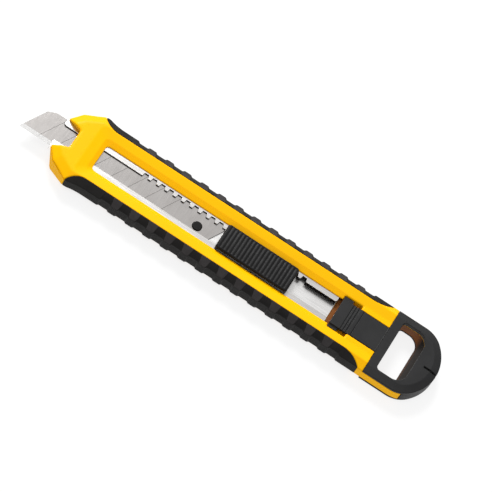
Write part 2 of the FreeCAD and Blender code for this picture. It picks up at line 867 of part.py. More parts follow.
def make_blade_pin():
    """The stud that holds the blade, riveted into the carrier."""
    body = new_body("blade_pin")
    discs = [
        ("foot", carrier_base - s.head_height, s.head_height, s.pin_foot),
        ("stem", carrier_base, s.carrier_thickness, s.pin_stem),
        ("stud", carrier_top, pin_top - carrier_top, s.pin_diameter),
    ]
    for name, base, height, diameter in discs:
        sketch = sketch_on(body, "XY_Plane", f"{name}_sketch", base)
        draw_circle(sketch, pin_x, -s.hole_offset, diameter)
        pad(body, sketch, height, name)
    return body


def make_rivets():
    """Two rivets that fasten the button to the carrier."""
    label = "carrier_rivets"
    shank_height = s.carrier_thickness + s.rivet_grip
    pieces = []
    for number, x in enumerate(rivet_places()):
        head_base = carrier_base - s.head_height
        head = cylinder(f"rivet_head_{number}", x, head_base, s.rivet_head, s.head_height)
        shank = cylinder(f"rivet_shank_{number}", x, carrier_base, s.rivet_diameter, shank_height)
        rivet = doc.addObject("Part::Fuse", f"rivet_{number}")
        rivet.Base = head
        rivet.Tool = shank
        pieces.append(rivet)
    group = doc.addObject("Part::Compound", label)
    group.Links = pieces
    group.Label = label
    doc.recompute()
    return group


def cylinder(name, x, base, diameter, height):
    """An upright cylinder on the handle's centre line."""
    disc = doc.addObject("Part::Cylinder", name)
    disc.setExpression("Radius", (diameter / 2).text)
    disc.setExpression("Height", height.text)
    disc.setExpression("Placement.Base.x", x.text)
    disc.setExpression("Placement.Base.z", base.text)
    return disc


def make_slider_button():
    """The ribbed thumb slide, with a neck between the channel's lips."""
    body = new_body("slider_button")
    neck_half = s.lip_half - s.slack - s.fit
    neck_top = s.lip_top + s.gap
    neck_front, neck_rear = slider_front + s.neck_inset, slider_rear - s.neck_inset
    neck = rectangle(neck_front, -neck_half, neck_rear, neck_half)
    add(body, "XY_Plane", "neck", neck, neck_top - carrier_top, offset=carrier_top)
    cap = rectangle(slider_front, -s.slider_half, slider_rear, s.slider_half)
    add(body, "XY_Plane", "cap", cap, s.slider_top - neck_top, offset=neck_top)
    round_edges(
        body,
        "corners",
        s.slider_corner,
        lambda p, d: near(abs(d.z), 1) and near(abs(p.y), s.slider_half.value),
    )
    round_edges(body, "rim", s.slider_rim, lambda p, d: near(p.z, s.slider_top.value))
    start = slider_middle - s.rib_pitch * (rib_count - 1) / 2
    groove = rectangle(start - s.rib_gap / 2, -s.rib_half, start + s.rib_gap / 2, s.rib_half)
    first = cut(body, "XY_Plane", "groove", groove, offset=s.slider_top, length=s.rib_depth)
    repeat(body, first, "grooves", s.rib_pitch, rib_count)
    reach = s.spring_reach + s.gap
    foot, seat_base = s.spring_foot - s.slack * 2, spring_base - s.slack * 2
    seat = rectangle(tooth_x - reach, foot, tooth_x + reach, s.lip_half + past)
    cut(body, "XY_Plane", "spring_seat", seat, offset=neck_top, length=neck_top - seat_base)
    holes = sketch_on(body, "XY_Plane", "rivet_sketch", carrier_top)
    for x in rivet_places():
        draw_circle(holes, x, 0, s.rivet_diameter)
    pocket(body, holes, s.rivet_grip, "rivet_holes", reverse=True)
    return body


def make_lock_spring():
    """The bowed leaf whose tooth sits in one notch of the rack."""
    body = new_body("lock_spring")
    back = s.spring_crest + s.spring_leaf
    tooth_end = s.lip_half + s.rack_depth - s.gap
    outline = [
        (tooth_x - s.spring_reach, s.spring_foot),
        (tooth_x - s.tooth_root / 2, s.spring_crest),
        (tooth_x + s.tooth_root / 2, s.spring_crest),
        (tooth_x + s.spring_reach, s.spring_foot),
        (tooth_x + s.spring_reach, s.spring_foot + s.spring_leaf),
        (tooth_x + s.tooth_root / 2, back),
        (tooth_x + s.tooth_tip / 2, tooth_end),
        (tooth_x - s.tooth_tip / 2, tooth_end),
        (tooth_x - s.tooth_root / 2, back),
        (tooth_x - s.spring_reach, s.spring_foot + s.spring_leaf),
    ]
    add(body, "XY_Plane", "leaf", outline, s.spring_width, offset=spring_base)
    return body


# ---- end cap ----

def cap_outline(front, inset):
    """The cap from above, from a straight front to the round tail, drawn in by inset."""
    half = s.body_half - inset
    small, large = s.cap_corner_radius - inset, cap_end_radius - inset
    unit_x, unit_y = (corner_x - end_centre) / corner_reach, corner_y / corner_reach
    x, y = end_centre + unit_x * large, unit_y * large
    return [
        (front, -half),
        (corner_x, -half, small, 1),
        (x, -y, large, 1),
        (x, y, small, 1),
        (corner_x, half),
        (front, half),
    ]


def make_end_cap():
    """The pull-off cap: a sleeve round the back shell's tongue, with the blade-snapping slit."""
    body = new_body("end_cap")
    front = cap_start + s.slack
    edge = s.cap_edge - s.cap_base
    add(body, "XY_Plane", "sleeve", cap_outline(front, zero), edge, offset=s.cap_base)
    crown = (s.cap_top, cap_outline(front, s.cap_crown))
    loft(body, "AdditiveLoft", "crown", (s.cap_edge, cap_outline(front, zero)), crown)
    half = s.latch_tongue_half
    fixed = rectangle(latch_hinge + s.gap, -half, cap_start + lap, half)
    add(body, "XY_Plane", "tongue", fixed, latch_root, offset=s.latch_base)
    slot_top = s.tongue_top + s.slack
    slot = rectangle(cap_start - past, s.cap_base + s.cap_plate, tongue_end + s.gap, slot_top)
    cut(body, "XZ_Plane", "slot", slot, both=True, length=far)
    cut(body, "XY_Plane", "lanyard", lanyard_hole(zero), both=True, length=far)
    wide_hole = lanyard_hole(zero, s.hole_scoop)
    cut(body, "XY_Plane", "scoop", wide_hole, offset=slot_top, reverse=True)
    slit = rectangle(tail - s.slit_length, -s.slit_width / 2, tail + clear, s.slit_width / 2)
    cut(body, "XY_Plane", "slit", slit, both=True, length=far)
    socket_sketch = sketch_on(body, "XZ_Plane", "socket_sketch")
    draw_circle(socket_sketch, latch_hinge, latch_middle, latch_root + s.slack * 2)
    pocket(body, socket_sketch, far, "socket", both=True)
    return body


def make_cap_latch():
    """The ribbed release tab, with a thumb bar whose ears slide under the shell's rails."""
    body = new_body("cap_latch")
    profile = [
        (latch_front, s.latch_base),
        (latch_hinge, s.latch_base, latch_root / 2 + hair, 1),
        (latch_hinge, s.latch_top),
        (latch_front, s.latch_top),
    ]
    add(body, "XZ_Plane", "tab", profile, s.latch_half * 2, both=True)
    ear_rear = latch_front + s.ear_length
    ears = rectangle(latch_front, -s.ear_half, ear_rear, s.ear_half)
    ear_base = s.latch_base - s.slack
    add(body, "XY_Plane", "ears", ears, s.ear_top - ear_base, offset=ear_base)
    start = ear_rear + s.latch_land
    side = s.latch_half + past
    groove = rectangle(start, -side, start + s.latch_groove, side)
    depth = s.latch_groove_depth
    first = cut(body, "XY_Plane", "groove", groove, offset=s.latch_top, length=depth)
    repeat(body, first, "grooves", s.latch_groove_pitch, s.latch_groove_count)
    return body


parts = [
    make_housing_back(),
    make_housing_top(),
    make_grip("grip_left", 1),
    make_grip("grip_right", -1),
    make_blade_holder(),
    make_blade(),
    make_slider_carrier(),
    make_blade_pin(),
    make_rivets(),
    make_slider_button(),
    make_lock_spring(),
    make_end_cap(),
    make_cap_latch(),
]

doc.recompute()
for thing in doc.Objects:
    if "Invalid" in thing.State or "Error" in thing.State:
        raise RuntimeError(f"{thing.Name} failed: {thing.State}")
os.makedirs("parts", exist_ok=True)
for part in parts:
    if part.Shape.isNull() or not part.Shape.isValid():
        raise RuntimeError(f"{part.Label} has no valid shape")
for part in parts:
    part.Shape.exportStep(os.path.join("parts", f"{part.Label}.step"))
    print(f"{part.Label}: {len(part.Shape.Solids)} solid(s), {part.Shape.Volume / 1000:.2f} cm3")
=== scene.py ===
import math

import bmesh
import bpy
from mathutils import Euler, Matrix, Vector


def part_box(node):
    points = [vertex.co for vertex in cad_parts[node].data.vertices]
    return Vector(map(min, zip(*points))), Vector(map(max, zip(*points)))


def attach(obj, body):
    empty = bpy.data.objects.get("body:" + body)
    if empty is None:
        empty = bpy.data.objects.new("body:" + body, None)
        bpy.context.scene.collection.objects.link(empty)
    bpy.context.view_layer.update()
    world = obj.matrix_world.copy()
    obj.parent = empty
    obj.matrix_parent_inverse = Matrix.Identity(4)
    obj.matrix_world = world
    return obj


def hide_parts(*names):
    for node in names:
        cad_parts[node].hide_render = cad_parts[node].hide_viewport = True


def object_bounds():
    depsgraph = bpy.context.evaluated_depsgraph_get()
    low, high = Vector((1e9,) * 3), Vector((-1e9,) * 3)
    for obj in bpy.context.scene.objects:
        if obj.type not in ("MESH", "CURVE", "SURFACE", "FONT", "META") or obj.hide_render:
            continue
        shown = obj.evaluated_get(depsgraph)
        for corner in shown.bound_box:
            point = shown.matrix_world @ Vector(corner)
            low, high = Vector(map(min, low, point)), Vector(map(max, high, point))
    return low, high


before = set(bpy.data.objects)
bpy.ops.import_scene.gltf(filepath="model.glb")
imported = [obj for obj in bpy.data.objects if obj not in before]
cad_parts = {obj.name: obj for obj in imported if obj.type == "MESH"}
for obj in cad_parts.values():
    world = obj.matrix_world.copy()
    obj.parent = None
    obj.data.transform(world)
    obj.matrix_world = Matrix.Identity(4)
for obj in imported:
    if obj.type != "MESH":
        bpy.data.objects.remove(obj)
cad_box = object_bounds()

# Lengths are in millimetres until a mesh or an object is made, and MM turns them into metres.
MM = 0.001

# ---- camera, light and floor ----

CAMERA_AZIMUTH = 0.57  # degrees, as are the two angles below
CAMERA_ELEVATION = 58.17
CAMERA_ROLL = 32.63
CAMERA_DISTANCE = 2224.0
CAMERA_AIM = (-3.1, 5.3, 5.0)
CAMERA_LENS = 324.4
SENSOR_WIDTH = 36.0
CLIP_END = 20000.0

FLOOR_HALF = 1500.0
FLOOR_CELLS = 8
FLOOR_COLOUR = (0.2, 0.2, 0.2)
FLOOR_GLOW = 0.8
SKY = 0.57

# (name, azimuth it shines from, elevation, distance, size, power in watts)
LIGHTS = [
    ("key_light", 212.0, 40.0, 1300.0, 450.0, 17.0),
    ("top_light", 0.0, 84.0, 1300.0, 500.0, 2.5),
]


def direction(azimuth, elevation):
    """The unit vector from the object towards a viewer or a lamp. Azimuth 0 is on the -Y side."""
    a, e = math.radians(azimuth), math.radians(elevation)
    return Vector((math.sin(a) * math.cos(e), -math.cos(a) * math.cos(e), math.sin(e)))


def add_object(name, data):
    made = bpy.data.objects.new(name, data)
    bpy.context.scene.collection.objects.link(made)
    return made


def make_camera():
    data = bpy.data.cameras.new("camera")
    data.lens = CAMERA_LENS
    data.sensor_width = SENSOR_WIDTH
    data.clip_end = CLIP_END * MM
    camera = add_object("camera", data)
    turn = Euler((math.radians(90 - CAMERA_ELEVATION), 0, math.radians(CAMERA_AZIMUTH)))
    roll = Euler((0, 0, math.radians(CAMERA_ROLL)))
    back = direction(CAMERA_AZIMUTH, CAMERA_ELEVATION)
    camera.rotation_euler = (turn.to_matrix() @ roll.to_matrix()).to_euler()
    camera.location = (Vector(CAMERA_AIM) + back * CAMERA_DISTANCE) * MM
    bpy.context.scene.camera = camera


def make_lights():
    for name, azimuth, elevation, distance, size, power in LIGHTS:
        data = bpy.data.lights.new(name, "AREA")
        data.size = size * MM
        data.energy = power
        lamp = add_object(name, data)
        away = direction(azimuth, elevation)
        lamp.location = away * distance * MM
        lamp.rotation_euler = away.to_track_quat("Z", "Y").to_euler()
    world = bpy.data.worlds.new("studio")
    world.use_nodes = True
    background = world.node_tree.nodes["Background"]
    background.inputs["Color"].default_value = (1, 1, 1, 1)
    background.inputs["Strength"].default_value = SKY
    bpy.context.scene.world = world


# ---- materials ----

SHELL_YELLOW = (0.93, 0.455, 0.0)
SHELL_RELIEF = 0.35
SHELL_RELIEF_DEPTH = 0.012
HOLE_PAINTED_SHADE = (0.2, 0.062, 0.008)
HOLE_PAINTED_DEEP_SHADE = (0.014, 0.011, 0.009)
# The colours inside the back shell, each after its place along X: painted shade, brown by the tab
# and in the hole and black at its rear, with the shell's own yellow between
HOLE_PAINTED_SHADES = (
    (50.0, HOLE_PAINTED_SHADE),
    (53.5, HOLE_PAINTED_SHADE),
    (57.5, SHELL_YELLOW),
    (80.0, SHELL_YELLOW),
    (84.0, HOLE_PAINTED_SHADE),
    (94.5, HOLE_PAINTED_SHADE),
    (97.5, HOLE_PAINTED_DEEP_SHADE),
)
# The parts of a noise's range that are stretched over the whole change of roughness or colour
ROUGHNESS_SPAN = (0.3, 0.7)
COLOUR_SPAN = (0.35, 0.65)
# The sockets that a Mix node uses for colours
MIX_FACTOR, MIX_FIRST, MIX_SECOND, MIX_RESULT = 0, 6, 7, 2


class Material:
    """A principled material with small helpers for its procedural detail."""

    def __init__(self, name, colour, roughness, metallic=0.0, specular=0.5):
        self.made = bpy.data.materials.new(name)
        self.made.use_nodes = True
        self.tree = self.made.node_tree
        self.shader = self.tree.nodes["Principled BSDF"]
        self.set("Base Color", (*colour, 1))
        self.set("Roughness", roughness)
        self.set("Metallic", metallic)
        self.set("Specular IOR Level", specular)

    def set(self, socket, value):
        self.shader.inputs[socket].default_value = value

    def node(self, kind, **inputs):
        made = self.tree.nodes.new(kind)
        for socket, value in inputs.items():
            made.inputs[socket.replace("_", " ")].default_value = value
        return made

    def link(self, source, target):
        self.tree.links.new(source, target)

    def noise(self, size, stretch=(1, 1, 1), turn=0.0, detail=3.0):
        """Noise whose grains are about size millimetres, drawn out by stretch, turned about Z."""
        place = self.node("ShaderNodeTexCoord")
        mapping = self.node("ShaderNodeMapping")
        mapping.vector_type = "TEXTURE"
        mapping.inputs["Rotation"].default_value = (0, 0, math.radians(turn))
        mapping.inputs["Scale"].default_value = [size * MM * s for s in stretch]
        self.link(place.outputs["Object"], mapping.inputs["Vector"])
        texture = self.node("ShaderNodeTexNoise", Scale=1.0, Detail=detail)
        self.link(mapping.outputs["Vector"], texture.inputs["Vector"])
        return texture.outputs["Fac"]

    def spread(self, source, span, low, high):
        """The part of the source that lies in span, stretched to run from low to high."""
        start, end = span
        made = self.node("ShaderNodeMapRange", From_Min=start, From_Max=end, To_Min=low, To_Max=high)
        self.link(source, made.inputs["Value"])
        return made.outputs["Result"]

    def vary_roughness(self, source, low, high):
        self.link(self.spread(source, ROUGHNESS_SPAN, low, high), self.shader.inputs["Roughness"])

    def vary_colour(self, source, low, high):
        mix = self.node("ShaderNodeMix")
        mix.data_type = "RGBA"
        mix.inputs[MIX_FIRST].default_value = (*low, 1)
        mix.inputs[MIX_SECOND].default_value = (*high, 1)
        self.link(self.spread(source, COLOUR_SPAN, 0, 1), mix.inputs[MIX_FACTOR])
        self.link(mix.outputs[MIX_RESULT], self.shader.inputs["Base Color"])

    def bump(self, source, depth):
        """Relief of about depth millimetres."""
        made = self.node("ShaderNodeBump", Strength=1.0, Distance=depth * MM)
        self.link(source, made.inputs["Height"])
        self.link(made.outputs["Normal"], self.shader.inputs["Normal"])


def moulded(
    name, colour, roughness, specular, patches, tones, grain, finish, relief, depth, detail=3.0
):
    """Plastic or rubber. Its colour varies between two tones in patches, its roughness within
    finish in a grain, and its surface has a fine relief; all four sizes are in millimetres."""
    made = Material(name, colour, roughness, specular=specular)
    made.vary_colour(made.noise(patches, detail=detail), *tones)
    made.vary_roughness(made.noise(grain), *finish)
    made.bump(made.noise(relief), depth)
    return made.made


def yellow_shell():
    return moulded(
        "yellow_shell", colour=SHELL_YELLOW, roughness=0.4, specular=0.06,
        patches=30, tones=((0.92, 0.455, 0.0), (0.95, 0.475, 0.0)), detail=2,
        grain=3.0, finish=(0.35, 0.45), relief=SHELL_RELIEF, depth=SHELL_RELIEF_DEPTH,
    )


def hole_wall():
    """The back shell's inside: painted shade, brown by the tab and in the hole, black at its rear.
    """
    made = Material("hole_wall", colour=HOLE_PAINTED_SHADE, roughness=0.5, specular=0.15)
    place = made.node("ShaderNodeTexCoord")
    split = made.node("ShaderNodeSeparateXYZ")
    made.link(place.outputs["Object"], split.inputs["Vector"])
    low, high = HOLE_PAINTED_SHADES[0][0] * MM, HOLE_PAINTED_SHADES[-1][0] * MM
    ramp = made.node("ShaderNodeValToRGB")
    made.link(made.spread(split.outputs["X"], (low, high), 0, 1), ramp.inputs["Fac"])
    stops = ramp.color_ramp.elements
    while len(stops) < len(HOLE_PAINTED_SHADES):
        stops.new(0.5)  # anywhere, as the places are set below
    for stop, (x, colour) in zip(stops, HOLE_PAINTED_SHADES):
        stop.position = (x * MM - low) / (high - low)
        stop.color = (*colour, 1)
    made.link(ramp.outputs["Color"], made.shader.inputs["Base Color"])
    made.bump(made.noise(SHELL_RELIEF), SHELL_RELIEF_DEPTH)
    return made.made


def grip_rubber():
    return moulded(
        "grip_rubber", colour=(0.012, 0.011, 0.0105), roughness=0.5, specular=0.1,
        patches=9, tones=((0.01, 0.009, 0.0085), (0.014, 0.013, 0.0125)),
        grain=1.5, finish=(0.42, 0.55), relief=0.3, depth=0.03,
    )


def grip_pad_painted_sheen():
    """The raised pads' faces: painted sheen, the same rubber a little paler than between them."""
    return moulded(
        "grip_pad_painted_sheen", colour=(0.026, 0.023, 0.023), roughness=0.46, specular=0.16,
        patches=4, tones=((0.023, 0.02, 0.02), (0.03, 0.027, 0.027)),
        grain=1.2, finish=(0.4, 0.52), relief=0.3, depth=0.03,
    )


def black_plastic():
    return moulded(
        "black_plastic", colour=(0.014, 0.014, 0.0145), roughness=0.45, specular=0.2,
        patches=12, tones=((0.012, 0.012, 0.0125), (0.017, 0.017, 0.0175)),
        grain=1.2, finish=(0.42, 0.55), relief=0.22, depth=0.02,
    )


def slide_plastic():
    return moulded(
        "slide_plastic", colour=(0.007, 0.0068, 0.007), roughness=0.5, specular=0.13,
        patches=8, tones=((0.006, 0.0058, 0.006), (0.009, 0.0087, 0.009)),
        grain=1.2, finish=(0.44, 0.56), relief=0.22, depth=0.015,
    )


def black_pin():
    made = Material("black_pin", colour=(0.005, 0.0045, 0.0045), roughness=0.4, specular=0.12)
    made.vary_roughness(made.noise(size=0.8), low=0.34, high=0.5)
    made.bump(made.noise(size=0.3), depth=0.01)
    return made.made


def blade_steel():
    """Ground steel, with fine grinding lines across the blade."""
    made = Material("blade_steel", colour=(0.66, 0.63, 0.61), roughness=0.24, metallic=1.0)
    lines = made.noise(size=0.12, stretch=(60, 1, 1), turn=90)
    made.vary_colour(made.noise(size=7, detail=5), low=(0.64, 0.61, 0.59), high=(0.68, 0.65, 0.63))
    made.vary_roughness(lines, low=0.15, high=0.2)
    made.bump(lines, depth=0.002)
    return made.made


def ground_edge():
    """The bevel of the cutting edge: brighter, with grinding lines across it as well."""
    made = Material("ground_edge", colour=(0.95, 0.94, 0.93), roughness=0.24, metallic=1.0)
    lines = made.noise(size=0.1, stretch=(1, 40, 1), detail=4)
    made.vary_roughness(lines, low=0.18, high=0.3)
    made.bump(lines, depth=0.003)
    return made.made


def sheet_steel(name, dark, bright):
    """Sheet steel, with faint lines along its length."""
    made = Material(name, colour=bright, roughness=0.25, metallic=1.0)
    lines = made.noise(size=0.15, stretch=(80, 1, 1), detail=4)
    made.vary_colour(made.noise(size=11, detail=4), low=dark, high=bright)
    made.vary_roughness(lines, low=0.2, high=0.3)
    made.bump(lines, depth=0.002)
    return made.made


def holder_steel():
    return sheet_steel("holder_steel", dark=(0.95, 0.935, 0.92), bright=(0.985, 0.975, 0.965))


def lip_painted_shade():
    """The channel's lips: painted shade, the holder's steel made darker than its floor."""
    return sheet_steel("lip_painted_shade", dark=(0.74, 0.72, 0.7), bright=(0.79, 0.77, 0.75))


def plain_steel(name, colour, roughness, finish, grain=0.5, **looks):
    """Steel of one colour whose roughness varies within finish."""
    made = Material(name, colour, roughness, **looks)
    made.vary_roughness(made.noise(grain), *finish)
    return made.made


def painted_shade_steel():
    """Painted shade on cut and hidden faces of the steel, which are nearly black."""
    colour = (0.035, 0.03, 0.027)
    return plain_steel("painted_shade_steel", colour, roughness=0.55, finish=(0.48, 0.62), specular=0.2)


# Painted shade in the blade's score lines: dark steel.
def score_painted_shade():
    colour = (0.16, 0.15, 0.145)
    return plain_steel("score_painted_shade", colour, roughness=0.5, finish=(0.44, 0.56), metallic=0.6)


def spring_steel():
    colour = (0.5, 0.48, 0.45)
    return plain_steel(
        "spring_steel", colour, roughness=0.35, finish=(0.28, 0.42), grain=0.4, metallic=1.0
    )


def floor_paper():
    made = Material("floor_paper", colour=FLOOR_COLOUR, roughness=0.9, specular=0.1)
    made.vary_roughness(made.noise(size=2.0), low=0.85, high=0.95)
    made.set("Emission Color", (1, 1, 1, 1))
    made.set("Emission Strength", FLOOR_GLOW)
    return made.made


# ---- meshes ----

MERGE_DISTANCE = 0.002
COPLANAR_ANGLE = 0.4  # degrees, as are all the angles below
SAME_PLACE = 0.03
LARGE_FACE_WEIGHT = 70  # above 50, large faces count for more in a corner's normal
SEGMENTS = 3
FINE_SEGMENTS = 4

# The width of the rounding, and the angle an edge must be sharper than to get it
NO_ROUNDING = (0.0, 0.0)
BACK_SHELL_ROUNDING = (0.25, 25.0)
GRIP_ROUNDING = (0.3, 16.0)
HOLDER_ROUNDING = (0.12, 30.0)
LATCH_ROUNDING = (0.22, 30.0)
PIN_ROUNDING = (0.45, 40.0)
CAP_ROUNDING = (0.4, 25.0)
CAP_TOP_ROUNDING = (0.35, 8.0)
CAP_SHARP_TOP_ROUNDING = (0.25, 30.0)


def to_object(bm, name, materials):
    data = bpy.data.meshes.new(name)
    for face in bm.faces:
        face.smooth = True
    bm.to_mesh(data)
    bm.free()
    piece = add_object(name, data)
    for material in materials:
        data.materials.append(material)
    return piece


def angle_of(edge):
    return math.degrees(edge.calc_face_angle(0.0))


def set_bevels(bm, rounding_of):
    """Writes the width of each edge's rounding, in millimetres, as its bevel weight."""
    layer = bm.edges.layers.float.new("bevel_weight_edge")
    for edge in bm.edges:
        width, angle = rounding_of(edge)
        edge[layer] = width if edge.is_manifold and angle_of(edge) > angle else 0.0


def weigh_normals(piece):
    weighted = piece.modifiers.new("normals", "WEIGHTED_NORMAL")
    weighted.weight = LARGE_FACE_WEIGHT


def round_off(piece, segments=SEGMENTS):
    """Rounds the weighted edges: a weight of 1 is a width of 1 mm."""
    bevel = piece.modifiers.new("rounding", "BEVEL")
    bevel.limit_method = "WEIGHT"
    bevel.width = MM
    bevel.segments = segments
    bevel.use_clamp_overlap = False
    bevel.miter_outer = "MITER_SHARP"
    weigh_normals(piece)


def copy_of(node):
    """A CAD node's mesh with its coplanar triangles joined."""
    bm = bmesh.new()
    bm.from_mesh(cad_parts[node].data)
    bmesh.ops.remove_doubles(bm, verts=bm.verts, dist=MERGE_DISTANCE * MM)
    flat = math.radians(COPLANAR_ANGLE)
    bmesh.ops.dissolve_limit(bm, angle_limit=flat, verts=bm.verts, edges=bm.edges)
    return bm


def stand_for(piece, node, body):
    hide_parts(node)
    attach(piece, body)


def near(a, b):
    return abs(a - b) < SAME_PLACE


def lies_at(edge, height):
    return all(near(vert.co.z / MM, height) for vert in edge.verts)


def corners(node):
    """A CAD node's lowest and highest corner, in millimetres."""
    low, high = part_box(node)
    return low / MM, high / MM


# ---- shells ----

VOXEL = 0.3
PARTING = 7.75  # the height where the two shells meet
WINDOW_HALF = 8.35
LIP_DROP = 0.25  # so that the thin lip under the window's frame outlasts the remesh
RAIL_SMOOTHING = 3
HEAD_SMOOTHING = 24
HEAD_LENGTH = 17.0
HEAD_FADE = 6.0
SMOOTHING_FACTOR = 0.5

# Where the back shell's inside is seen and gets painted shade: the lanyard hole and the tab's pocket
HOLE_START = 84.0
HOLE_END = 101.0
HOLE_HALF = 16.2
POCKET_CENTRE = 57.0
POCKET_REACH = 9.0
POCKET_HALF = 10.6
INSIDE_HEIGHT = 0.5
LEVEL = 0.9  # the normal's z above which a face counts as level


def relax(bm, verts):
    """Draws each vertex towards the middle of its neighbours."""
    bmesh.ops.smooth_vert(
        bm, verts=verts, factor=SMOOTHING_FACTOR, use_axis_x=True, use_axis_y=True, use_axis_z=True
    )


def make_front_shell(material):
    """The moulding with all its edges softened, and the head's more than the rails'."""
    head_end = corners("housing_top")[0].x + HEAD_LENGTH
    bm = copy_of("housing_top")
    for vert in bm.verts:
        if abs(vert.co.y / MM) < WINDOW_HALF and near(vert.co.z / MM, PARTING):
            vert.co.z -= LIP_DROP * MM
    draft = to_object(bm, "front_shell_draft", [material])
    even = draft.modifiers.new("even", "REMESH")
    even.mode = "VOXEL"
    even.voxel_size = VOXEL * MM
    shaped = draft.evaluated_get(bpy.context.evaluated_depsgraph_get())
    bm = bmesh.new()
    bm.from_mesh(shaped.to_mesh())
    bpy.data.objects.remove(draft)
    for _ in range(RAIL_SMOOTHING):
        relax(bm, bm.verts)
    for turn in range(HEAD_SMOOTHING):
        reach = (head_end - HEAD_FADE * turn / HEAD_SMOOTHING) * MM
        relax(bm, [v for v in bm.verts if v.co.x < reach])
    piece = to_object(bm, "front_shell", [material])
    stand_for(piece, "housing_top", "handle")


def make_back_shell(material, painted_shade_material):
    """The pocket's faces and the hole's walls get the second material, which is painted shade."""
    bm = copy_of("housing_back")
    for face in bm.faces:
        middle = face.calc_center_median() / MM
        hole = HOLE_START < middle.x < HOLE_END and abs(middle.y) < HOLE_HALF
        pocket = abs(middle.x - POCKET_CENTRE) < POCKET_REACH and abs(middle.y) < POCKET_HALF
        inside = (hole or pocket) and middle.z > INSIDE_HEIGHT
        # these faces get the painted shade
        face.material_index = int(inside and (pocket or face.normal.z < LEVEL))
    set_bevels(bm, lambda edge: BACK_SHELL_ROUNDING)
    piece = to_object(bm, "back_shell", [material, painted_shade_material])
    round_off(piece)
    stand_for(piece, "housing_back", "handle")


# ---- grips ----

BODY_HALF = corners("end_cap")[1].y
FACET_WIDTH = 4.5
RIDGE_HALF = BODY_HALF - FACET_WIDTH
RIDGE_HEIGHT = corners("housing_top")[1].z
EDGE_HEIGHT = 8.4  # where the sloping facet meets the side wall
BACK_BEVEL_WIDTH = 4.8
BACK_BEVEL_HEIGHT = 2.1
BACK_HALF = BODY_HALF - BACK_BEVEL_WIDTH
BACK_SLOPE = BACK_BEVEL_HEIGHT / BACK_BEVEL_WIDTH
RUBBER_WIDTH = 2.6
GRIP_INNER = BODY_HALF - RUBBER_WIDTH
LIP_RISE = 0.6
GRIP_LIP = EDGE_HEIGHT + LIP_RISE
SHOULDER = 2.15  # from the grip's front end, like the first valley
FLARE_RADIUS = 27.0
FLARE_LENGTH = 9.0
RIDGE_FLARE = 0.7
FRONT_TAPER = 0.09
FRONT_RADIUS = 10.3
FRONT_MARGIN = 0.3
REAR_RADIUS = 16.6
VALLEY_FIRST = 23.4
VALLEY_PITCH = 10.43
VALLEY_COUNT = 14
VALLEY_ROOT = 4.85
VALLEY_MOUTH = 6.6
VALLEY_DEPTH = 0.95
VALLEY_COLUMNS = 4  # of the grid, in each valley
FACET_ROWS = 7
BEVEL_ROWS = (0.0, 0.35, 0.7)  # shares of the way round to the inside
FRONT_COLUMNS = 16
REAR_COLUMNS = 8
END_TRIES = 12
FIRST_TRY = 5.0  # from the end


def grip_outline(x, front):
    """Half the handle's width at x, and the ridge's place, which both widen towards the head."""
    past = front + SHOULDER + FLARE_LENGTH - x
    if past <= 0:
        return BODY_HALF, RIDGE_HALF
    reach = min(past, FLARE_LENGTH)
    rise = FLARE_RADIUS - math.sqrt(FLARE_RADIUS**2 - reach**2)
    drop = max(0.0, past - FLARE_LENGTH) * FRONT_TAPER
    return BODY_HALF + rise - drop, RIDGE_HALF + RIDGE_FLARE * reach / FLARE_LENGTH


def grip_rows():
    """The section's rows from the ridge, over the side, round to the inside. Each has the share of
    the valleys' depth that it gets, and a function that gives y and z from the half width, the
    ridge and the depth."""
    rows = []
    for i in range(FACET_ROWS + 1):
        t = i / FACET_ROWS

        def facet(half, ridge, depth, t=t):
            y = ridge + (half - depth - ridge) * t
            return y, RIDGE_HEIGHT + (EDGE_HEIGHT - RIDGE_HEIGHT) * t

        rows.append((t, facet))
    for t in BEVEL_ROWS:

        def bevel(half, ridge, depth, t=t):
            y = (half - depth) * (1 - t) + GRIP_INNER * t
            return y, (y - BACK_HALF) * BACK_SLOPE

        rows.append((1.0, bevel))
    foot = (GRIP_INNER - BACK_HALF) * BACK_SLOPE
    rows.append((0.0, lambda half, ridge, depth: (GRIP_INNER, foot)))
    rows.append((0.0, lambda half, ridge, depth: (GRIP_INNER, GRIP_LIP)))
    rows.append((0.0, lambda half, ridge, depth: (ridge, GRIP_LIP)))
    return rows


def grip_end(row, front, rear, at_front):
    """Where a row ends: the arc, seen from above, that bounds the rubber. The row's y depends on x
    near the head, so x is found by trying again from the last result."""
    place = row[1]
    outer = corners("grip_left")[1].y + FRONT_MARGIN
    x = front + FIRST_TRY if at_front else rear - FIRST_TRY
    for _ in range(END_TRIES):
        half, ridge = grip_outline(x, front)
        y = place(half, ridge, 0.0)[0]
        if at_front:
            centre_y = RIDGE_HALF + FRONT_RADIUS
            run = math.sqrt(FRONT_RADIUS**2 - (FRONT_RADIUS - outer + RIDGE_HALF) ** 2)
            inside = max(0.0, FRONT_RADIUS**2 - (centre_y - y) ** 2)
            x = front + run - math.sqrt(inside)
        else:
            centre_y = RIDGE_HALF + REAR_RADIUS
            run = math.sqrt(REAR_RADIUS**2 - (centre_y - BODY_HALF) ** 2)
            inside = max(0.0, REAR_RADIUS**2 - (centre_y - y) ** 2)
            x = rear - run + math.sqrt(inside)
    return x


